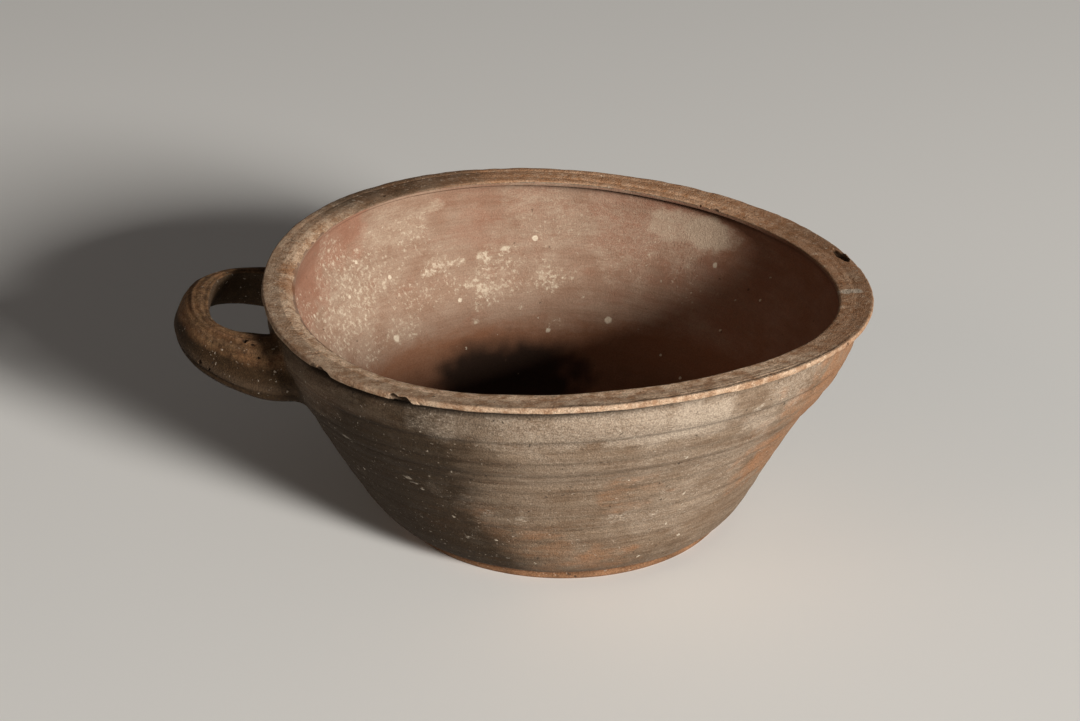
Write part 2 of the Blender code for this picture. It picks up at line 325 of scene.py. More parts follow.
def bowl_relief(points):
    """How far each turned point stands out of the true shape, along its normal."""
    x, y, z = points.T
    radius, bearing = np.hypot(x, y), np.arctan2(y, x)
    outside = radius > middle_of_wall(z)
    flange = (z > COLLAR_TOP - 0.0002) & (radius > INNER_EDGE - 0.0002)
    out = rings(z, bearing, WALL_RINGS) * (1 + lumps(points, 0.02, 1)) - tool_lines(z, bearing, WALL_LINES)
    inner = rings(z, bearing, INNER_RINGS)
    relief = np.where(outside, out, inner) * smooth((z - 0.005) / 0.006)
    top = flange & (z > HEIGHT - RIM_DISH - 0.0004)
    relief[flange] = 0
    relief[top] -= tool_lines(radius[top], bearing[top], RIM_LINES)
    relief += 0.00016 * lumps(points, 0.017, 2) + 0.00005 * lumps(points, 0.0035, 3)
    worn_edge = flange & (radius > RIM_RADIUS - 0.0014)
    relief[worn_edge] -= 0.00024 * np.clip(lumps(points[worn_edge], 0.006, 15), 0, 1)
    relief[flange] = np.minimum(1.6 * relief[flange] - 0.00016, 0)
    return np.where(z < 0.0006, 0, relief)


turned_points = points_of(bowl)
turned_normals = normals_of(bowl)
relief = bowl_relief(turned_points)
put_points(bowl, turned_points + turned_normals * relief[:, None])
print("the relief goes from", round(relief.min() * 1000, 2), "to", round(relief.max() * 1000, 2), "mm")

# %% The lips are tucked in unevenly
LIP_GAP_HEIGHT = COLLAR_TOP + LIP_UNDERCUT / 2
COLLAR_TUCK = 0.0011
ROLL_WIDTH, ROLL_DROP = 0.0036, 0.0013
ROLLED_SIDE = (190, 95)


def tucked(points):
    """The outer undercut is deep to the front left and shallow in front, where the collar stands out. On the left the
    inner lip fades out and the rim rolls over into the bowl."""
    x, y, z = points.T
    radius, bearing = np.hypot(x, y), np.arctan2(y, x)
    outer = (radius > 0.1) & (z < HEIGHT - LIP_HEIGHT + 0.0004)
    deep = 0.0014 * facing(bearing, 228, 68) - 0.0007 * facing(bearing, 325, 60) + 0.0005 * facing(bearing, 60, 70)
    collar = COLLAR_TUCK * facing(bearing, 352, 42) * hump(z, COLLAR_TOP - 0.004, 0.009)
    move = np.where(outer, -deep * hump(z, LIP_GAP_HEIGHT, 0.0011) - collar, 0)
    inner = (radius < 0.0975) & (z < INNER_LIP_FOOT + 0.0006) & (z > 0.06)
    fading = facing(bearing, *ROLLED_SIDE)
    overhang = np.maximum(radius - INNER_EDGE, 0)
    move = np.where(inner, -overhang * fading * smooth((z - 0.068) / 0.0105), move)
    scale = 1 + move / np.maximum(radius, 0.01)
    edge = (z > INNER_LIP_FOOT - 0.0002) & (radius < INNER_EDGE + ROLL_WIDTH)
    share_up = np.clip((z - INNER_LIP_FOOT) / INNER_LIP_HEIGHT, 0, 1)
    drop = ROLL_DROP * fading * smooth((INNER_EDGE + ROLL_WIDTH - radius) / 0.0038) * share_up
    return np.column_stack((x * scale, y * scale, np.where(edge, z - drop, z)))


put_points(bowl, tucked(points_of(bowl)))
print("the outer undercut lies at a height of", round(LIP_GAP_HEIGHT * 1000, 1), "mm")

# %% [markdown]
# ## Sagging
# Before it was dry the pan was lifted off the wheel, and it settled a little out of true: the rim went up and down in
# low waves, and the middle of the wall moved towards the handle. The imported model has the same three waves. The way
# back, from the sagged place to the turned one, is kept too, because the turning lines have to follow the clay.

# %% Sag the bowl
LIFT_WAVES = ((1, 0.003, 222), (2, 0.0029, 119), (3, 0.0006, 48))
ROUND_WAVE = (3, 0.0009, 17)
RIM_OFFSET = (0.0014, 0.002)
WALL_SAG = 0.003


def sagged(points):
    x, y, z = points.T
    share = np.clip(z / HEIGHT, 0, 1)
    bearing = np.arctan2(y, x)
    lift = sum(high * np.cos(n * (bearing - math.radians(crest))) for n, high, crest in LIFT_WAVES)
    count, reach, crest = ROUND_WAVE
    stretch = 1 + smooth(share) * reach / RIM_RADIUS * np.cos(count * (bearing - math.radians(crest)))
    shift_x = RIM_OFFSET[0] * share - WALL_SAG * 4 * share * (1 - share)
    return np.column_stack((x * stretch + shift_x, y * stretch + RIM_OFFSET[1] * share, z + smooth(share) * lift))


def unsagged(points):
    guess = points.copy()
    for _ in range(8):
        guess += points - sagged(guess)
    return guess


put_points(bowl, sagged(points_of(bowl)))
sag_error = np.abs(sagged(unsagged(points_of(bowl))) - points_of(bowl)).max()
print("the way back from the sag misses by", round(sag_error * 1e6, 3), "micrometres at most")

# %% [markdown]
# ## The loop handle
# The potter rolled a thick strap, bent it to a loop and pressed its ends on. A circle of points is the strap's
# section, Spin bends it round half a turn, and two extrusions carry the legs into the wall. Then every ring of points
# is pressed to the section that the photograph shows there: a rounded inner lip, a broad sloping face with finger
# ridges, and an under-face that turns in below a low edge.

# %% Sizes of the handle
GAP_REACH = 0.0194
GAP_SIDES = (0.0272, 0.0284)
GAP_SQUARENESS = 3.4
LOOP_REACH = 0.0258
LOOP_SQUARENESS = 2.1
END_THICKNESS = 0.0117
LEG_THICKNESS = (0.0123, 0.0085)
END_TOP_DROP = 0.0035
LEG_TOP_DROP = (0.007, 0.009)
END_HEIGHT = 0.0135
LEG_HEIGHT = (0.0188, 0.0172)
LOOP_LEAN = 0.0026
SECTION_FULLNESS = 0.75
ROOT_LENGTH = 0.024
ROOT_FLARE = 0.0036
ROOT_FLARE_LENGTH = 0.018
ROOT_FLARE_UPWARD = 0.25
LOOP_MIDDLE = LOOP_REACH - GAP_REACH - COLLAR_RADIUS
# Ridges and hollows along the strap: where on the section in degrees from its outer side, how wide, and how high
STRAP_RIDGES = (
    (133, 15, 0.00055), (106, 9, -0.00075), (92, 6, 0.00038), (82, 5, -0.00034), (70, 7, 0.00034), (58, 5, -0.00026),
    (44, 8, 0.0002), (31, 5, -0.00018), (-17, 9, 0.0006), (-31, 6, -0.00055), (-62, 17, -0.0005),
)

# %% Draw the strap and bend it round
SECTION_PLACES, LOOP_RINGS, ROOT_RINGS = 76, 126, 13
STRAP_RADIUS, BEND_RADIUS = 0.006, 0.033


def pick_points(wanted):
    """Selects the points for which wanted() is true, and nothing else."""
    bpy.ops.mesh.select_all(action="DESELECT")
    mesh = bpy.context.object.data
    shape = bmesh.from_edit_mesh(mesh)
    for vertex in shape.verts:
        vertex.select_set(wanted(vertex.co))
    shape.select_flush_mode()
    bmesh.update_edit_mesh(mesh)


def extrude_leg(side):
    """Carries the strap's end on this side straight on into the wall."""
    pick_points(lambda co: abs(co.x - LOOP_MIDDLE) < 0.0001 and co.y * side > 0)
    for _ in range(ROOT_RINGS):
        bpy.ops.mesh.extrude_edges_move(TRANSFORM_OT_translate={"value": (ROOT_LENGTH / ROOT_RINGS, 0, 0)})


bpy.ops.mesh.primitive_circle_add(
    vertices=SECTION_PLACES,
    radius=STRAP_RADIUS,
    location=(LOOP_MIDDLE, -BEND_RADIUS, 0),
    rotation=(0, math.pi / 2, 0),
)
loop = bpy.context.object
loop.name = loop.data.name = "loop"
bpy.ops.object.transform_apply()
start_editing(loop)
bpy.ops.mesh.spin(steps=LOOP_RINGS, angle=math.pi, center=(LOOP_MIDDLE, 0, 0), axis=(0, 0, 1))
extrude_leg(-1)
extrude_leg(1)
bpy.ops.mesh.select_all(action="SELECT")
bpy.ops.mesh.fill_holes(sides=0)
stop_editing()
print("the strap has", len(loop.data.polygons), "faces")

# %% Press the strap to its sections
def oval_reach(reach, side, bearing, squareness):
    along = np.abs(np.cos(bearing) / reach) ** squareness
    across = np.abs(np.sin(bearing) / side) ** squareness
    return (along + across) ** (-1 / squareness)


def strap_place(points):
    """Where points of the round strap lie: past the end of the bend, round the loop, and round the section."""
    x, y, z = points.T
    root = np.maximum(x - LOOP_MIDDLE, 0)
    bearing = np.where(root > 0, np.sign(y) * np.pi / 2, np.arctan2(y, LOOP_MIDDLE - x))
    distance = np.where(root > 0, np.abs(y), np.hypot(x - LOOP_MIDDLE, y))
    return root, bearing, np.arctan2(z, distance - BEND_RADIUS)


def ridges(turn):
    return sum(high * hump(np.degrees(turn), at, wide) for at, wide, high in STRAP_RIDGES)


def pressed(points):
    root, bearing, turn = strap_place(points)
    front = bearing < 0
    pairs = (GAP_SIDES, LEG_THICKNESS, LEG_TOP_DROP, LEG_HEIGHT)
    gap_side, thick, drop, high = (np.where(front, *pair) for pair in pairs)
    leg = np.sin(bearing) ** 2
    inner = oval_reach(LOOP_REACH, gap_side, bearing, GAP_SQUARENESS)
    outer = oval_reach(LOOP_REACH + END_THICKNESS, gap_side + thick, bearing, LOOP_SQUARENESS)
    from_end = root + LOOP_REACH * (1 - np.cos(bearing))
    flare = ROOT_FLARE * smooth((from_end - GAP_REACH + ROOT_FLARE_LENGTH / 2) / ROOT_FLARE_LENGTH)
    half_width = (outer - inner) / 2 + flare
    half_height = (END_HEIGHT + (high - END_HEIGHT) * leg) / 2 + flare * ROOT_FLARE_UPWARD
    top_drop = END_TOP_DROP + (drop - END_TOP_DROP) * leg
    out = np.sign(np.cos(turn)) * np.abs(np.cos(turn)) ** SECTION_FULLNESS
    up = np.sign(np.sin(turn)) * np.abs(np.sin(turn)) ** SECTION_FULLNESS
    strength = np.where(front, 0.45 + 0.55 * leg, 0.45 - 0.25 * leg) * (1 - 0.8 * smooth((from_end - 0.016) / 0.014))
    ridge = ridges(turn) * strength
    ridge += 0.00022 * lumps(points, 0.009, 5) + 0.00006 * lumps(points, 0.0025, 6) - 0.00042
    reach = (outer + inner) / 2 + half_width * out - LOOP_LEAN * up + ridge * np.cos(turn)
    height = HEIGHT - top_drop - half_height + half_height * up + ridge * np.sin(turn)
    return np.column_stack((LOOP_MIDDLE - reach * np.cos(bearing) + root, reach * np.sin(bearing), height))


round_strap = points_of(loop)
pressed_strap = pressed(round_strap)
put_points(loop, pressed_strap)
start_editing(loop)
bpy.ops.mesh.normals_make_consistent(inside=False)
stop_editing()
print("the loop reaches to x =", round(points_of(loop)[:, 0].min() * 1000, 1), "mm")

# %% [markdown]
# ## Pressing the handle on
# The legs stop inside the wall. A solid turned from the middle of the wall's thickness trims them, and a Boolean
# union makes bowl and loop one skin. A potter smears the clay over such a joint with a thumb. Here a small lump fills
# the corner at the back root, and a Smooth modifier works on the points near the joint, which melts the crease.

# %% Join bowl and handle
def apply_modifiers(obj):
    pick(obj)
    for modifier in list(obj.modifiers):
        bpy.ops.object.modifier_apply(modifier=modifier.name)


def combine(obj, other, operation):
    boolean = obj.modifiers.new(operation, "BOOLEAN")
    boolean.operation = operation
    boolean.solver = "EXACT"
    boolean.object = other
    apply_modifiers(obj)
    bpy.data.objects.remove(other)


def core_places():
    half = WALL / 2
    top = Vector((COLLAR_RADIUS - half, HEIGHT - LIP_HEIGHT / 2))
    foot = Vector((COLLAR_RADIUS - half, COLLAR_FOOT))
    low = HEEL + INTO_WALL / 2
    return [Vector((0, top.y)), *straight(top, foot, 0.004), *straight(foot, low, 0.004), low, Vector((0, low.y))]


def clay_lump(name, place, size):
    bpy.ops.mesh.primitive_ico_sphere_add(subdivisions=4, radius=1, location=place, scale=size)
    bpy.ops.object.transform_apply()
    bpy.context.object.name = name
    return bpy.context.object


core = turned("core", core_places(), 96)
put_points(core, sagged(points_of(core)))
combine(loop, core, "DIFFERENCE")
loop_skin = BVHTree.FromObject(loop, bpy.context.evaluated_depsgraph_get())
bowl_skin = BVHTree.FromObject(bowl, bpy.context.evaluated_depsgraph_get())
combine(loop, clay_lump("thumbed_clay", (-0.1, 0.0232, 0.0722), (0.0046, 0.0052, 0.006)), "UNION")
combine(bowl, loop, "UNION")
pan = bowl
pan.name = pan.data.name = "pan"
print("bowl and handle together have", len(pan.data.polygons), "faces")

# %% Melt the joint
JOINT_REACH = 0.0075


def joint_weights(obj):
    """1 where the two skins met, and 0 a little way off and on the inside of the bowl."""
    weights = []
    for vertex, (x, y, z) in zip(obj.data.vertices, unsagged(points_of(obj)).tolist()):
        outside = math.hypot(x, y) > middle_of_wall(z)
        away = [1.0]
        if outside and x < -0.07 and z < COLLAR_TOP:
            away = [skin.find_nearest(vertex.co)[3] for skin in (loop_skin, bowl_skin)]
        weights.append(float(smooth(1 - max(away) / JOINT_REACH)))
    return weights


joint = pan.vertex_groups.new(name="joint")
melted = 0
for index, weight in enumerate(joint_weights(pan)):
    if weight > 0.01:
        joint.add([index], weight, "REPLACE")
        melted += 1
melt = pan.modifiers.new("Melt", "SMOOTH")
melt.factor = 0.5
melt.iterations = 34
melt.vertex_group = "joint"
apply_modifiers(pan)
print(melted, "points near the joint were smoothed")

# %% [markdown]
# ## Chips, nicks and pits
# Fired clay breaks in small shells, with a crisp edge and a rough hollow. Each break is a ball whose surface is
# roughened, set into the rim where the photograph shows the damage, and Boolean differences take them away.
# Small balls make the open pits on the rim and on the handle.

# %% Break the rim
# Bearing in degrees, radius and height on the turned shape, then length along the rim, width and depth, all in mm
BREAKS = (
    (16.2, 106.1, 84.7, 15, 5.2, 3.6), (221.3, 104.6, 81.6, 9, 4.2, 4.4), (218.6, 105.2, 82.4, 4, 2.2, 2.2),
    (240.3, 104.6, 81.8, 9, 4.4, 5), (244.6, 105.4, 81.6, 4.4, 2.2, 2.6), (18.2, 102.6, 84.5, 12, 5.6, 4.4),
    (11.8, 105, 84.2, 4, 2.4, 2.2), (8.6, 105.4, 83.7, 5, 2, 2.2), (331, 105.3, 82.6, 2.8, 2.2, 2.8),
    (53, 93.1, 83, 4.2, 2.2, 2.2), (56.9, 93, 82.4, 2.4, 1.6, 1.8), (279, 93, 82.9, 2.2, 1.6, 1.7),
    (133.5, 96.4, 83.4, 2.2, 2, 1.8), (229.4, 105.3, 82.1, 3, 1.4, 1.8), (160, 105.2, 83.5, 3.6, 1.6, 1.8),
    (297, 105.2, 81.7, 2.4, 1.2, 1.6), (211, 105.3, 82.6, 3.2, 1.5, 1.8), (251, 105.2, 82, 2.6, 1.2, 1.5),
    (203, 105.2, 83.4, 2.8, 1.4, 1.6), (24.2, 104.6, 84.2, 3.4, 2.2, 1.8), (28.8, 104, 84.3, 2.6, 1.8, 1.5),
)
# The same without a length, for round pits: bearing, radius, height and width
PITS = (
    (214.6, 101.6, 83.9, 1.1), (215.6, 99.8, 83.7, 0.9), (216.4, 101.9, 83.9, 1), (217, 100.3, 83.8, 1.3),
    (217.9, 98.6, 83.6, 0.8), (218.2, 101.3, 83.9, 0.9), (219.1, 99.9, 83.7, 1), (219.9, 101, 83.8, 0.8),
    (213.6, 100.6, 83.8, 0.8), (215.2, 98.3, 83.6, 0.7), (220.8, 99.2, 83.7, 0.7), (216.7, 97.4, 83.5, 0.7),
    (241.5, 101.5, 83.9, 0.8), (186, 98.5, 83.6, 0.8), (150, 100.5, 83.8, 0.9), (97, 99, 83.7, 0.8),
    (71, 101, 83.8, 0.9), (40, 98, 83.6, 0.8), (268, 97.5, 83.6, 0.6), (305, 99, 83.7, 0.7),
)
# Pits on the handle, at their own place in millimetres, and width
HANDLE_PITS = (
    (-105.6, -33, 76.6, 1.9), (-107.6, -31.3, 77, 1.4), (-102.9, -34.8, 75.8, 1.2), (-121.6, -30.2, 67.3, 1.5),
    (-118, -33, 66, 1), (-127.6, -14, 76.6, 0.9), (-112, -36, 71.6, 0.9), (-100.5, -38.4, 72.8, 1.1),
    (-124, 9, 80, 0.9), (-101.8, 21.6, 73.2, 1.6),
)


def on_turned_shape(bearing, radius, height):
    turn = math.radians(bearing)
    place = np.array([[radius * math.cos(turn), radius * math.sin(turn), height]]) / 1000
    return Vector(sagged(place)[0])


def rough_ball(place, size, bearing, seed):
    """A ball squeezed to this size in millimetres, facing a bearing, with a broken-looking surface."""
    bpy.ops.mesh.primitive_ico_sphere_add(subdivisions=3, radius=0.5)
    ball = bpy.context.object
    points = points_of(ball)
    points *= (1 + 0.55 * lumps(points, 0.42, seed) + 0.2 * lumps(points, 0.16, seed + 9))[:, None]
    put_points(ball, points)
    ball.scale = [side / 1000 for side in size]
    ball.rotation_euler = (0, 0, math.radians(bearing))
    ball.location = place
    bpy.ops.object.transform_apply()
    return ball


def join_up(objects, name):
    pick(*objects)
    bpy.ops.object.join()
    objects[0].name = name
    return objects[0]


balls = []
for seed, (bearing, radius, height, long, wide, deep) in enumerate(BREAKS):
    balls.append(rough_ball(on_turned_shape(bearing, radius, height), (wide, long, deep), bearing, seed))
for seed, (bearing, radius, height, wide) in enumerate(PITS, 40):
    balls.append(rough_ball(on_turned_shape(bearing, radius, height), (wide, wide * 1.3, wide), bearing, seed))
for seed, (x, y, z, wide) in enumerate(HANDLE_PITS, 80):
    balls.append(rough_ball(Vector((x, y, z)) / 1000, (wide, wide * 1.4, wide), 60, seed))
print(len(balls), "breaks and pits")
unbroken_skin = BVHTree.FromObject(pan, bpy.context.evaluated_depsgraph_get())
# Neighbours in the list may touch, and a cutter must not cross itself: the first and longest break is cut alone,
# and every second one of the others in its own round
combine(pan, balls.pop(0), "DIFFERENCE")
for start in (0, 1):
    combine(pan, join_up(balls[start::2], "breaks"), "DIFFERENCE")
print("the broken pan has", len(pan.data.polygons), "faces")

# %% [markdown]
# ## Notes on the clay
# The finishes need to know which way the clay flowed under the potter's fingers, where the handle is and where the
# marks of use lie. Each of these is an attribute, a value stored on every point of the mesh. The turned place of a
# point comes back through the sag, so that the lines follow the wheel and not the floor.

# %% Which way the clay flowed
def keep(obj, name, values):
    """Stores a number or a vector on every point of the mesh."""
    kind, field = ("FLOAT_VECTOR", "vector") if values.ndim == 2 else ("FLOAT", "value")
    kept = obj.data.attributes.new(name, kind, "POINT")
    kept.data.foreach_set(field, np.ascontiguousarray(values, np.float32).ravel())

ALONG = 0.09
pan_points = points_of(pan)
true_points = unsagged(pan_points)
true_radius = np.hypot(true_points[:, 0], true_points[:, 1])
true_height = true_points[:, 2]
bearing = np.degrees(np.arctan2(true_points[:, 1], true_points[:, 0])) % 360
outside = true_radius > middle_of_wall(true_height)
handle = np.zeros(len(pan_points))
strap_points = KDTree(len(pressed_strap))
for index, place in enumerate(pressed_strap):
    strap_points.insert(place, index)
strap_points.balance()
nearest = np.zeros(len(pan_points), int)
for index in np.flatnonzero((pan_points[:, 0] < -0.085) & outside):
    nearest[index] = strap_points.find(pan_points[index])[1]
    handle[index] = smooth(1 - loop_skin.find_nearest(Vector(pan_points[index]))[3] / 0.003)

strap_root, strap_bearing, strap_turn = (values[nearest] for values in strap_place(round_strap))
strap_way = strap_bearing * BEND_RADIUS + np.sign(strap_bearing) * strap_root
strap_flow = np.column_stack((strap_way * ALONG, 0.008 * np.cos(strap_turn), 0.008 * np.sin(strap_turn)))
bowl_flow = np.column_stack((true_points[:, 0] * ALONG, true_points[:, 1] * ALONG, true_height + true_radius))
keep(pan, "flow", np.where(handle[:, None] > 0.5, strap_flow, bowl_flow))
print(int((handle > 0.5).sum()), "points lie on the handle")

# %% [markdown]
# ## Where the marks lie
# Fire, food, lime from the soil and handling each left marks on their own places. A mark is first laid out as soft
# blots, each a place with its reach and strength. The finish then breaks the soft blots up into ragged patches. Some
# marks also carry painted shade: dark colour in undercuts, grooves and breaks, on the handle and the shaded left wall,
# a dark blot in the bowl's shadow, and a redder tint in the shaded inside.

# %% Marks of fire, food, lime and wear, and painted shade
# x, y, z and reach in millimetres, then strength
LIME = (
    (-83.7, 45.1, 71.5, 16, 0.31), (-66.9, 64, 65.3, 14, 0.27), (-57, 62.4, 48, 12, 0.26),
    (-79.7, 29.8, 50.7, 16, 0.33), (-69.8, 37.3, 39.1, 11, 0.28), (-76, 48, 58, 18, 0.34), (-88, 20, 62, 16, 0.28),
    (-49, 72.6, 55.4, 4, 0.4), (-43.5, 75.6, 55.6, 4, 0.42), (-37, 78.7, 56.3, 4, 0.46), (-30.4, 82.3, 57, 3, 0.48),
    (-20.5, 84.7, 58.5, 2, 0.56), (-19, 84, 53.6, 2, 0.4), (-34.3, 75.7, 48.4, 4, 0.44),
    (-28.8, 76.2, 45.9, 4, 0.46), (-14.9, 76.6, 38.7, 2, 0.56), (-32.2, 69.4, 35.3, 2, 0.48), (-5, 80, 48, 8, 0.36),
    (4, 80, 49, 5, 0.34), (-24, 80, 50, 16, 0.31), (-3, 73, 33, 4, 0.27), (9, 77, 43, 4, 0.3),
    (-55, 76, 68, 12, 0.27), (0, 92, 68, 16, 0.22), (25, 82, 56, 16, 0.2), (-60, 55, 40, 10, 0.3),
    (-42, 72, 50, 14, 0.27), (50, 70, 50, 12, 0.2),
)
PALE_INSIDE = (
    (46, 83, 68.5, 11, 0.58), (55, 78, 68.5, 9, 0.84), (63, 72, 69, 7, 0.42), (-46.4, 85.4, 76.5, 4, 0.46),
    (-76, 48, 58, 24, 0.3), (-20, 85, 60, 26, 0.26), (20, 88, 66, 28, 0.32), (-60, 72, 74, 16, 0.34),
    (45, 80, 64, 16, 0.36), (-10, 94, 76, 16, 0.32),
)
PALE_OUTSIDE = (
    (10.7, -100.3, 79.2, 14, 0.3), (41.9, -91, 77.2, 12, 0.44), (62.4, -73.2, 67.8, 9, 0.28),
    (26, -97, 76, 12, 0.34), (75, -66, 76, 12, 0.24), (-12, -100, 77, 14, 0.26), (-38, -92, 79, 12, 0.24),
    (32, -86, 60, 15, 0.14), (36, -74, 33, 18, 0.14), (0, -92, 62, 20, 0.1), (-20, -78, 38, 18, 0.12),
    (50, -70, 50, 20, 0.12),
)
# Scratches and a smear of lime across the rim
CRUST_OUTSIDE = (
    (101, 0.9, 79, 1.9, 0.8), (97.5, 0.9, 79.4, 1.9, 0.8), (94, 1.2, 79.4, 1.9, 0.8), (-50.6, -71.8, 46.3, 1.3, 0.55),
    (-48.4, -72.2, 44.3, 1.3, 0.55), (-46, -72.4, 42.6, 1.2, 0.5), (-70, -62.6, 55.8, 2, 0.45),
    (-36, -70, 33, 2, 0.4), (-24, -78, 36, 3, 0.36), (-14, -79, 35, 3, 0.36), (18, -78, 34, 4, 0.34),
    (30, -74, 32, 4, 0.32), (-30, -66, 22, 3, 0.36), (62, -78, 74, 3, 0.45),
)
RUST_OUTSIDE = (
    (-7.7, -72, 19.1, 15, 0.5), (12.1, -67.2, 12.5, 13, 0.58), (-14.2, -75, 26.6, 12, 0.46), (90, -38, 66, 30, 0.8),
    (84, -58, 72, 10, 0.6), (76, -44, 42, 24, 0.7), (-30, -70, 30, 18, 0.5), (20, -80, 46, 16, 0.4),
    (-92.1, -6.9, 83.9, 4, 0.8), (-94.8, -2.8, 84.3, 3, 0.7), (-94.8, 8.1, 84.7, 4, 0.6), (-10, -64, 6, 16, 0.46),
    (70, -70, 60, 16, 0.4),
)
BLUSH = (
    (-88.9, 27.5, 85, 15, 0.9), (-91.1, 27.4, 73.5, 16, 0.9), (-83.7, 48.7, 79.8, 15, 0.9), (-92, 0, 72, 20, 0.6),
    (-20, 94, 78, 30, 0.16), (30, 88, 74, 28, 0.24), (-30, 88, 66, 14, 0.2),
)

raggedness = 0.55 * lumps(pan_points, 0.009, 11) + 0.35 * lumps(pan_points, 0.0035, 12)


def blots(places):
    mark = np.zeros(len(pan_points))
    for *place, reach, strength in places:
        away = np.linalg.norm((pan_points * 1000 - place) * (1, 1, 1.5), axis=1) / reach
        mark = np.maximum(mark, strength * smooth(1.1 * (1.5 - away + raggedness)))
    return mark


def around(middle, reach, flat=1.0):
    """As facing, on the pan's own points. A larger flat keeps it at 1 for longer."""
    away = (bearing - middle + 180) % 360 - 180
    return smooth(flat * (1 - np.abs(away) / reach))


rolled = around(*ROLLED_SIDE)
flange_top = (true_height > HEIGHT - RIM_DISH - 0.0006 - ROLL_DROP * rolled) & (handle < 0.5)
lip_side = outside & (true_height > HEIGHT - LIP_HEIGHT) & (handle < 0.5)
rim = (flange_top | lip_side).astype(float)
inside = ~outside & ~flange_top
wall = (outside & (rim < 0.5)) * (1 - handle)
lime = np.where(inside, blots(LIME), blots(CRUST_OUTSIDE))
pale = np.where(inside, blots(PALE_INSIDE), blots(PALE_OUTSIDE) + 0.12 * wall + 0.06 * around(300, 50) * wall)
# Inside, the rust mark is partly painted warm shade: an orange-brown band low in the bowl along the shadow's edge and a
# redder tint on the shaded right side. Outside it is orange patches of the clay and rim.
rust_and_painted_warm_shade = 0.9 * smooth((0.042 - true_height) / 0.018) + 0.5 * around(20, 75)
rust_and_painted_warm_shade = np.where(inside, rust_and_painted_warm_shade, 0.8 * blots(RUST_OUTSIDE) + rim * (0.45 * around(60, 110, 1.4) + 0.22) + 0.35 * handle)
rust_and_painted_warm_shade += np.where(inside, 0, rim * around(50, 62) * hump(true_radius, 0.095, 0.003))
# Outside, the soot mark is partly real smoke and partly painted shade on the left wall, which is turned away from the
# key lamp; it also grows darker towards the foot.
high_wall = smooth((true_height - 0.064) / 0.01)
low_wall = smooth(1 - true_height / 0.036)
soot_and_painted_shade = wall * (around(190, 80, 2.2) * (1 - 0.4 * high_wall) + 0.12 * around(245, 45) + 0.38 * low_wall)
soot_and_painted_shade += rim * (0.58 * around(130, 38) + 0.3 * around(30, 25))
# Painted shade on the handle: under its strap, on its front leg and on the inner faces of its gap.
under_strap = smooth(2.2 * (1 - np.abs(np.degrees(strap_turn) + 62) / 88)) * handle
front_leg = smooth(-strap_bearing / (np.pi / 2)) * (1 - smooth(strap_root / 0.012))
in_gap = smooth((np.abs(np.degrees(strap_turn)) - 116) / 20) * handle
near_root = hump(bearing, 216, 12) * hump(true_height, 0.068, 0.012)
# Inside, the soot mark is painted shadow: a dark ragged blot where the bowl's shadow is deepest, and darker towards the
# bottom.
shadow_blot_way = (pan_points * 1000 - (-22, 60, 16)) / (33, 22, 12)
painted_shadow_blot = smooth(1.5 * (1.35 - np.linalg.norm(shadow_blot_way, axis=1) + 0.4 * raggedness))
painted_shadow_blot = np.maximum(painted_shadow_blot, (0.3 + 0.3 * raggedness) * smooth((0.03 - true_height) / 0.018))
soot_and_painted_shade = soot_and_painted_shade * (1 - 0.45 * near_root) + (0.06 + 0.42 * front_leg) * handle + under_strap + in_gap
soot_and_painted_shade = np.where(inside, painted_shadow_blot, soot_and_painted_shade)
# Inside, the blush mark is pink patches of the clay plus painted warm shade: a redder tint everywhere and more on the
# shaded right side.
blush_and_painted_warm_shade = np.where(inside, blots(BLUSH) + 0.2 + 0.6 * around(10, 80) + 0.15 * around(330, 70), 0)
worn = rim * (1 - 0.9 * around(125, 42)) * (1 - 0.3 * around(20, 40)) * (1 - 0.3 * around(185, 60)) - 0.4 * lip_side
# The crevice mark is painted shade: darkening under the outer and inner lips, along tool lines, at the collar's foot,
# in the foot groove, in the rim's fine groove and between the handle's ridges.
gap = hump(true_height, LIP_GAP_HEIGHT - 0.0001, 0.0013) * (0.5 + 1.6 * around(225, 85)) * outside
gap *= smooth((RIM_RADIUS - 0.0002 - true_radius) / 0.0004)
inner_gap = hump(true_height, INNER_LIP_FOOT - 0.0008, 0.0012) * inside * (1 - around(190, 110, 2.2))
crease = 0.5 * tool_lines(true_height, np.radians(bearing), WALL_LINES) / 0.0003 * wall
crease += 0.4 * hump(true_height, COLLAR_FOOT, 0.0007) * wall + 0.8 * hump(true_height, 0.0036, 0.0008) * wall
fine_groove = hump(true_radius, 0.103, 0.0006) * around(298, 66, 1.5) * flange_top
hollows = 0.42 * np.clip(-ridges(strap_turn) / 0.0006, 0, 1) * handle
fine_groove *= np.clip(0.62 + 1.2 * raggedness, 0, 0.9)
painted_crevice_shade = gap + inner_gap + crease + fine_groove + hollows
lip = hump(true_height, HEIGHT, 0.0008) * hump(true_radius, RIM_RADIUS, 0.001)
lip += hump(true_radius, INNER_EDGE, 0.0008) * hump(true_height, HEIGHT - RIM_DISH, 0.001)
lip += 0.6 * np.clip(ridges(strap_turn) / 0.0004, 0, 1) * handle
# Painted shade in the breaks and pits: their faces are darker the deeper they lie below the unbroken skin.
broken = np.array([smooth(unbroken_skin.find_nearest(point)[3] / 0.0008) for point in map(Vector, pan_points)])
marks = {
    "lime": lime, "pale": pale, "rust_and_painted_warm_shade": rust_and_painted_warm_shade, "soot_and_painted_shade": soot_and_painted_shade, "blush_and_painted_warm_shade": blush_and_painted_warm_shade, "worn": worn, "painted_crevice_shade": painted_crevice_shade, "lip": lip,
    "broken": broken, "handle": handle, "rim": rim,
}
for name, values in marks.items():
    keep(pan, name, np.clip(values, 0, 1))
    print(name, "covers", round(float((values > 0.3).mean()) * 100, 1), "percent of the points")

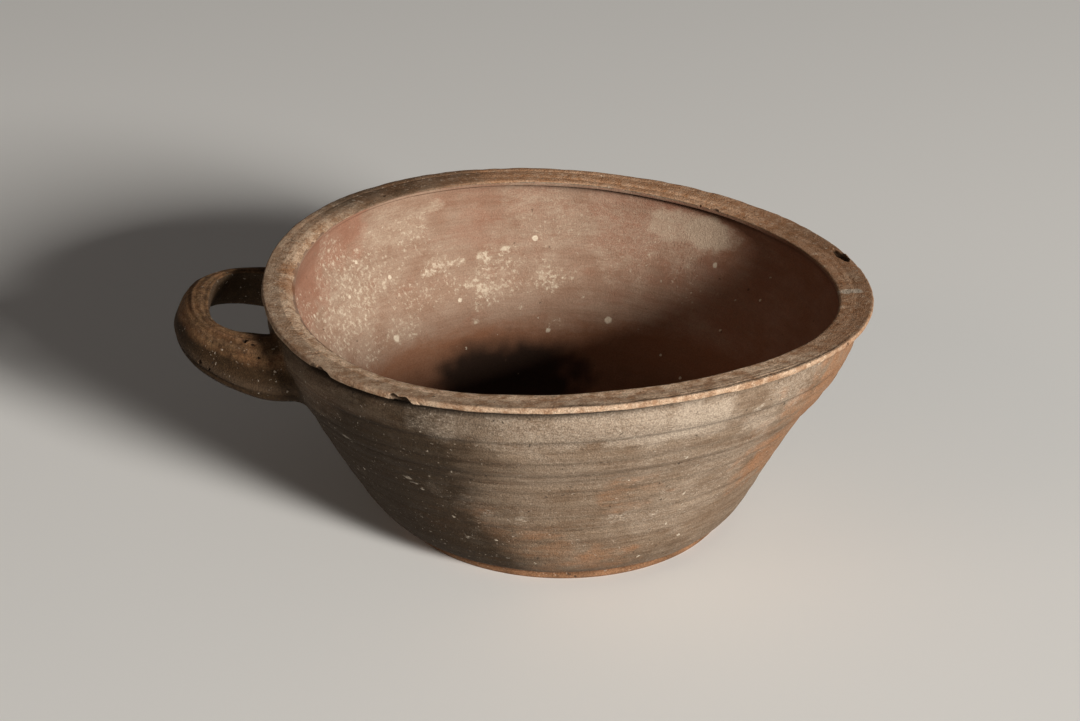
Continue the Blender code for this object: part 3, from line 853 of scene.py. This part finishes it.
# %% [markdown]
# ## Smooth and sharp
# The clay is smooth to the eye, but broken edges and the pits' rims are crisp. Shading is smooth wherever two faces
# meet at less than this angle, and sharp where they meet at more.

# %% Shade the pan
SHARP_ANGLE = math.radians(38)
pick(pan)
bpy.ops.object.shade_smooth_by_angle(angle=SHARP_ANGLE)
pan.vertex_groups.clear()
print("the pan's box:", [[round(v * 1000, 1) for v in row] for row in (points_of(pan).min(0), points_of(pan).max(0))])

# %% [markdown]
# ## The finishes
# Two clay finishes cover the pan: one outside, on the rim and on the handle, and one inside. Both show the same fired
# clay, so what they share is built once as node groups: the grain and the wheel's streaks, ragged patches, and specks
# of grit. Each finish gives the groups its own values and colours.

# %% Helpers for nodes
def node(tree, kind, values=None, **settings):
    """Adds a node. Values go to its inputs by name or number: a socket is linked, anything else is set."""
    made = tree.nodes.new(kind)
    for name, value in settings.items():
        setattr(made, name, value)
    for name, value in (values or {}).items():
        if isinstance(value, bpy.types.NodeSocket):
            tree.links.new(value, made.inputs[name])
        else:
            made.inputs[name].default_value = value
    return made


def maths(tree, operation, first, second=0.0, third=0.0, clamp=False):
    values = {0: first, 1: second, 2: third}
    return node(tree, "ShaderNodeMath", values, operation=operation, use_clamp=clamp).outputs[0]


def mixed(tree, share, first, second, blend="MIX"):
    """Colour: first where share is 0, second where it is 1."""
    values = {0: share, 6: first, 7: second}
    return node(tree, "ShaderNodeMix", values, data_type="RGBA", blend_type=blend).outputs[2]


def remapped(tree, value, low, high, new_low=0.0, new_high=1.0):
    values = {"Value": value, "From Min": low, "From Max": high, "To Min": new_low, "To Max": new_high}
    return node(tree, "ShaderNodeMapRange", values, interpolation_type="SMOOTHSTEP").outputs[0]


def noise_of(tree, place, scale, detail=3.0, rough=0.55):
    values = {"Vector": place, "Scale": scale, "Detail": detail, "Roughness": rough}
    return node(tree, "ShaderNodeTexNoise", values).outputs[0]


def new_group(name, inputs, outputs):
    """An empty node group. Returns it with its input sockets and its output node."""
    group = bpy.data.node_groups.new(name, "ShaderNodeTree")
    for title, kind in inputs:
        group.interface.new_socket(title, in_out="INPUT", socket_type=kind)
    for title in outputs:
        group.interface.new_socket(title, in_out="OUTPUT", socket_type="NodeSocketFloat")
    return group, group.nodes.new("NodeGroupInput").outputs, group.nodes.new("NodeGroupOutput").inputs


VECTOR, NUMBER = "NodeSocketVector", "NodeSocketFloat"

# %% Clay grain
# Mottle is cloudy and centimetres wide, grain is as fine as sand, and streaks follow the potter's fingers
grain_group, given, wanted = new_group(
    "clay_grain", [("Place", VECTOR), ("Flow", VECTOR)], ["Mottle", "Grain", "Streaks", "Height"]
)
mottle = noise_of(grain_group, given["Place"], 70, 6, 0.62)
grain = noise_of(grain_group, given["Place"], 1900, 3, 0.65)
streaks = noise_of(grain_group, given["Flow"], 820, 5, 0.72)
broad_streaks = noise_of(grain_group, given["Flow"], 240, 3, 0.6)
both_streaks = maths(grain_group, "MULTIPLY_ADD", broad_streaks, 0.45, maths(grain_group, "MULTIPLY", streaks, 0.55))
grain_group.links.new(mottle, wanted["Mottle"])
grain_group.links.new(grain, wanted["Grain"])
grain_group.links.new(both_streaks, wanted["Streaks"])
lumpy = noise_of(grain_group, given["Place"], 520, 3, 0.6)
height = maths(grain_group, "MULTIPLY_ADD", streaks, 0.3, maths(grain_group, "MULTIPLY_ADD", lumpy, 0.7, grain))
grain_group.links.new(height, wanted["Height"])

# %% Ragged patches
# A soft mark becomes ragged: where it is strong most of the noise shows, where it is weak only the noise's peaks
patch_group, given, wanted = new_group(
    "ragged_patches", [("Place", VECTOR), ("Mark", NUMBER), ("Scale", NUMBER), ("Softness", NUMBER)], ["Patches"]
)
noise_value = noise_of(patch_group, given["Place"], given["Scale"], 5, 0.68)
span = maths(patch_group, "ADD", given["Softness"], 0.5)
edge = maths(patch_group, "SUBTRACT", 0.72, maths(patch_group, "MULTIPLY", given["Mark"], span))
step = maths(patch_group, "DIVIDE", maths(patch_group, "SUBTRACT", noise_value, edge), given["Softness"], clamp=True)
there = maths(patch_group, "MULTIPLY", given["Mark"], 6, clamp=True)
patch_group.links.new(maths(patch_group, "MULTIPLY", step, there), wanted["Patches"])

# %% Specks of grit
speck_group, given, wanted = new_group(
    "specks", [("Place", VECTOR), ("Scale", NUMBER), ("Share", NUMBER), ("Reach", NUMBER)], ["Specks"]
)
noise_node = node(speck_group, "ShaderNodeTexNoise", {"Vector": given["Place"], "Scale": 900.0, "Detail": 2.0})
values = {0: noise_node.outputs["Color"], 1: (0.0022, 0.0022, 0.0022), 2: given["Place"]}
ragged_place = node(speck_group, "ShaderNodeVectorMath", values, operation="MULTIPLY_ADD").outputs[0]
cells = node(speck_group, "ShaderNodeTexVoronoi", {"Vector": ragged_place, "Scale": given["Scale"]})
chance = node(speck_group, "ShaderNodeSeparateColor", {0: cells.outputs["Color"]})
has_speck = maths(speck_group, "LESS_THAN", chance.outputs[0], given["Share"])
reach = maths(speck_group, "MULTIPLY", given["Reach"], maths(speck_group, "ADD", chance.outputs[1], 0.35))
from_middle = maths(speck_group, "DIVIDE", cells.outputs["Distance"], reach)
blob = remapped(speck_group, from_middle, 1.0, 0.6)
speck_group.links.new(maths(speck_group, "MULTIPLY", has_speck, blob), wanted["Specks"])


# %% The parts that both finishes use
class Finish:
    """A clay material in the making: its tree, its surface colour so far, and short ways to lay things over it."""

    def __init__(self, name, roughness):
        self.material = bpy.data.materials.new(name)
        self.material.use_nodes = True
        self.tree = self.material.node_tree
        self.shader = self.tree.nodes["Principled BSDF"]
        self.shader.inputs["Roughness"].default_value = roughness
        self.shader.inputs["Specular IOR Level"].default_value = 0.14
        self.place = node(self.tree, "ShaderNodeTexCoord").outputs["Object"]
        values = {0: self.place, 1: (1, 1, 2.6)}
        self.banded_place = node(self.tree, "ShaderNodeVectorMath", values, operation="MULTIPLY").outputs[0]
        flow = node(self.tree, "ShaderNodeAttribute", attribute_name="flow").outputs["Vector"]
        values = {"Place": self.place, "Flow": flow}
        self.grain = node(self.tree, "ShaderNodeGroup", values, node_tree=grain_group).outputs
        self.mottle_share = remapped(self.tree, self.grain["Mottle"], 0.34, 0.66)
        self.streak_share = remapped(self.tree, self.grain["Streaks"], 0.34, 0.66)
        self.grain_share = remapped(self.tree, self.grain["Grain"], 0.28, 0.72)
        self.colour = None

    def mark(self, name):
        return node(self.tree, "ShaderNodeAttribute", attribute_name=name).outputs["Fac"]

    def lay(self, share, colour, strength=1.0):
        """Lays a colour over the surface where share is high."""
        amount = maths(self.tree, "MULTIPLY", share, strength, clamp=True)
        self.colour = mixed(self.tree, amount, self.colour, (*colour, 1))

    def lay_mottled(self, share, scale, dark, pale, strength=1.0):
        """The same with a cloudy mix of two colours."""
        clouds = remapped(self.tree, noise_of(self.tree, self.place, scale, 6, 0.7), 0.38, 0.62)
        amount = maths(self.tree, "MULTIPLY", share, strength, clamp=True)
        self.colour = mixed(self.tree, amount, self.colour, mixed(self.tree, clouds, (*dark, 1), (*pale, 1)))

    def lay_patches(self, name, scale, softness, colour, strength, banded=True, share=None):
        """Lays a colour on ragged patches where the mark of this name, or a share of it, is high."""
        mark = self.mark(name) if share is None else maths(self.tree, "MULTIPLY", self.mark(name), share)
        place = self.banded_place if banded else self.place
        values = {"Place": place, "Mark": mark, "Scale": scale, "Softness": softness}
        self.lay(node(self.tree, "ShaderNodeGroup", values, node_tree=patch_group).outputs[0], colour, strength)

    def lay_specks(self, scale, share, reach, colour, strength):
        values = {"Place": self.place, "Scale": scale, "Share": share, "Reach": reach}
        self.lay(node(self.tree, "ShaderNodeGroup", values, node_tree=speck_group).outputs[0], colour, strength)

    def dust(self, strength, dark, pale):
        """Multiplies the colour so far by fine grains, some dark and some pale."""
        grains = mixed(self.tree, self.grain_share, (*dark, 1), (*pale, 1))
        self.colour = mixed(self.tree, strength, self.colour, grains, "MULTIPLY")

    def finish(self, height, distance):
        self.tree.links.new(self.colour, self.shader.inputs["Base Color"])
        bump = node(self.tree, "ShaderNodeBump", {"Height": height, "Distance": distance, "Strength": 1.0})
        self.tree.links.new(bump.outputs[0], self.shader.inputs["Normal"])


# %% Outside finish
outer = Finish("fired_clay_outside", 0.82)
tree = outer.tree
outer.colour = mixed(tree, outer.mottle_share, (0.15, 0.094, 0.057, 1), (0.222, 0.16, 0.112, 1))
streak_strength = maths(tree, "MULTIPLY_ADD", outer.mark("rim"), -0.35, 0.5)
streaked = mixed(tree, outer.streak_share, (0.104, 0.06, 0.034, 1), (0.285, 0.215, 0.152, 1))
outer.colour = mixed(tree, streak_strength, outer.colour, streaked)
# The handle is laid darker and browner than the wall: partly browner clay, partly painted shade.
outer.lay_mottled(outer.mark("handle"), 430, (0.074, 0.034, 0.013), (0.215, 0.12, 0.056), 0.88)
outer.lay_mottled(outer.mark("worn"), 260, (0.4, 0.222, 0.122), (0.8, 0.58, 0.405), 0.92)
outer.lay_patches("rust_and_painted_warm_shade", 110, 0.4, (0.285, 0.128, 0.056), 0.62)
# Smoke and painted shade, laid as ragged dark patches
outer.lay_patches("soot_and_painted_shade", 60, 0.8, (0.02, 0.011, 0.004), 0.88)
outer.lay_patches("pale", 130, 0.9, (0.42, 0.35, 0.28), 0.4, banded=False)
outer.lay_patches("pale", 620, 0.25, (0.48, 0.4, 0.315), 0.42)
outer.lay_patches("lime", 520, 0.3, (0.6, 0.52, 0.42), 0.74)
outer.lay_patches("rim", 420, 0.2, (0.64, 0.53, 0.41), 0.55, banded=False, share=0.22)
outer.lay_patches("rim", 520, 0.12, (0.07, 0.036, 0.02), 0.75, banded=False, share=0.17)
outer.lay(outer.mark("lip"), (0.3, 0.215, 0.155), 0.16)
outer.lay_specks(230, 0.2, 0.13, (0.5, 0.43, 0.34), 0.8)
outer.lay_specks(520, 0.3, 0.2, (0.42, 0.35, 0.28), 0.55)
outer.lay_specks(900, 0.3, 0.22, (0.44, 0.365, 0.285), 0.4)
outer.lay_specks(380, 0.24, 0.19, (0.03, 0.021, 0.015), 0.7)
# Painted shade in the crevices
outer.lay(outer.mark("painted_crevice_shade"), (0.018, 0.012, 0.008), 0.9)
# Painted shade in the breaks
outer.lay(outer.mark("broken"), (0.034, 0.02, 0.012), 0.9)
outer.dust(0.95, (0.66, 0.65, 0.64), (1.34, 1.35, 1.36))
outer.finish(outer.grain["Height"], 0.00045)
print("the outside finish has", len(tree.nodes), "nodes")

# %% Inside finish
# Round white spots of lime, as x, y, z and radius in millimetres
SPOTS = (
    (-60.6, 49.8, 38, 1.6), (18.1, 72.9, 34.5, 1.6), (57.6, 69.3, 58.9, 1.2), (-9.6, 89.9, 61, 1.4),
    (-4.7, 72.9, 30.3, 1), (-37.9, 71.7, 43.4, 1), (-76.9, 43.8, 57.4, 0.9), (-63.3, 62, 57.3, 1),
    (-75.1, 54.9, 66.4, 0.9), (-87.8, 19.4, 61.1, 0.9), (58.9, 51.6, 40.4, 0.7), (37.4, 59.2, 26.4, 0.7),
    (44.5, 49.8, 21.5, 0.7), (72.9, 48.3, 54.2, 0.6),
)
inner = Finish("fired_clay_inside", 0.85)
tree = inner.tree
inner.colour = mixed(tree, inner.mottle_share, (0.235, 0.135, 0.088, 1), (0.31, 0.21, 0.15, 1))
streaked = mixed(tree, inner.streak_share, (0.205, 0.115, 0.074, 1), (0.33, 0.23, 0.168, 1))
inner.colour = mixed(tree, 0.38, inner.colour, streaked)
# Blush and rust, both partly painted warm shade in the bowl's shadow
inner.lay_patches("blush_and_painted_warm_shade", 80, 0.45, (0.265, 0.115, 0.072), 0.6)
inner.lay_patches("rust_and_painted_warm_shade", 70, 0.5, (0.205, 0.082, 0.038), 0.75)
inner.lay_patches("pale", 140, 0.45, (0.43, 0.34, 0.255), 0.55)
inner.lay_patches("pale", 620, 0.3, (0.48, 0.385, 0.285), 0.4)
inner.lay_patches("lime", 260, 0.9, (0.48, 0.385, 0.285), 0.36, banded=False)
inner.lay_patches("lime", 620, 0.16, (0.6, 0.505, 0.385), 0.72, banded=False)
# Painted shadow: a dark blot and a darker floor in the bowl's shadow
inner.lay(inner.mark("soot_and_painted_shade"), (0.016, 0.01, 0.007), 0.93)
inner.lay_specks(260, 0.14, 0.12, (0.52, 0.44, 0.34), 0.8)
inner.lay_specks(300, 0.12, 0.15, (0.06, 0.034, 0.022), 0.7)
wobble = maths(tree, "MULTIPLY_ADD", noise_of(tree, inner.place, 700, 2), 0.0012, -0.0006)
spots = None
for *place, radius in SPOTS:
    values = {0: inner.place, 1: [side / 1000 for side in place]}
    away = node(tree, "ShaderNodeVectorMath", values, operation="DISTANCE").outputs["Value"]
    spot = remapped(tree, maths(tree, "ADD", away, wobble), radius / 1000, radius / 1700)
    spots = spot if spots is None else maths(tree, "MAXIMUM", spots, spot)
inner.lay(spots, (0.62, 0.52, 0.4), 0.92)
# Painted shade under the inner lip
inner.lay(inner.mark("painted_crevice_shade"), (0.03, 0.018, 0.012), 0.85)
# Painted shade in the breaks
inner.lay(inner.mark("broken"), (0.08, 0.04, 0.024), 0.7)
inner.dust(0.6, (0.78, 0.77, 0.76), (1.22, 1.23, 1.24))
inner.finish(inner.grain["Height"], 0.00028)
print("the inside finish has", len(tree.nodes), "nodes")

# %% Put the finishes on
pan.data.materials.clear()
pan.data.materials.append(outer.material)
pan.data.materials.append(inner.material)
centres = np.empty(len(pan.data.polygons) * 3)
pan.data.polygons.foreach_get("center", centres)
true_centres = unsagged(centres.reshape(-1, 3))
centre_radius = np.hypot(true_centres[:, 0], true_centres[:, 1])
centre_height = true_centres[:, 2]
face_inside = centre_radius < middle_of_wall(centre_height)
ragged_edge = 0.0005 * lumps(true_centres, 0.0025, 14)
face_inside &= centre_height < INNER_LIP_FOOT + INNER_LIP_HEIGHT / 2 + ragged_edge
face_inside &= centre_height > FLOOR / 2
pan.data.polygons.foreach_set("material_index", face_inside.astype(np.int32))
pan.data.update()
print(int(face_inside.sum()), "faces lie inside the bowl")

# %% [markdown]
# ## The table it stands on and the light
# A pale floor carries the pan. One lamp stands low to the front right and is small enough to throw a clear shadow into
# the bowl, as in the photograph. A weak lamp on the left and a dim pale sky keep the shadows from going black.

# %% Floor
bpy.ops.mesh.primitive_plane_add(size=8, location=(0, 0, 0))
floor = bpy.context.object
floor.name = floor.data.name = "floor"
floor_paint = bpy.data.materials.new("floor_paint")
floor_paint.use_nodes = True
floor_shader = floor_paint.node_tree.nodes["Principled BSDF"]
floor_shader.inputs["Base Color"].default_value = (0.84, 0.84, 0.83, 1)
floor_shader.inputs["Roughness"].default_value = 0.9
floor.data.materials.append(floor_paint)

# %% Light
KEY_BEARING = math.radians(-50)
KEY_HEIGHT = math.radians(18.5)
KEY_DISTANCE = 4.0
KEY_SIZE = 0.8
KEY_WATTS = 264
FILL_BEARING = math.radians(-150)
FILL_HEIGHT = math.radians(27)
FILL_WATTS = 13
SKY_STRENGTH = 0.05


def lamp(name, bearing, height, distance, size, watts):
    """A square lamp at this bearing and height that looks at the middle of the pan."""
    way = Vector((math.cos(bearing) * math.cos(height), math.sin(bearing) * math.cos(height), math.sin(height)))
    bpy.ops.object.light_add(type="AREA", location=VIEW_TARGET + way * distance)
    light = bpy.context.object
    light.name = light.data.name = name
    light.rotation_euler = way.to_track_quat("Z", "Y").to_euler()
    light.data.size = size
    light.data.energy = watts
    return light


key = lamp("key", KEY_BEARING, KEY_HEIGHT, KEY_DISTANCE, KEY_SIZE, KEY_WATTS)
fill = lamp("fill", FILL_BEARING, FILL_HEIGHT, KEY_DISTANCE, 2 * KEY_SIZE, FILL_WATTS)
key.data.color = (1.0, 0.96, 0.9)
fill.data.color = (1.0, 0.78, 0.6)
world = bpy.data.worlds.new("studio")
world.use_nodes = True
sky = world.node_tree.nodes["Background"]
sky.inputs["Color"].default_value = (0.97, 0.98, 1.0, 1)
sky.inputs["Strength"].default_value = SKY_STRENGTH
scene.world = world
scene.view_settings.view_transform = "Standard"
print("key lamp at", [round(v, 2) for v in key.location])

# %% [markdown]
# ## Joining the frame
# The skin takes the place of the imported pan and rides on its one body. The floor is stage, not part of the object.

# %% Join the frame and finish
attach(pan, "root")
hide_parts("saucepan")
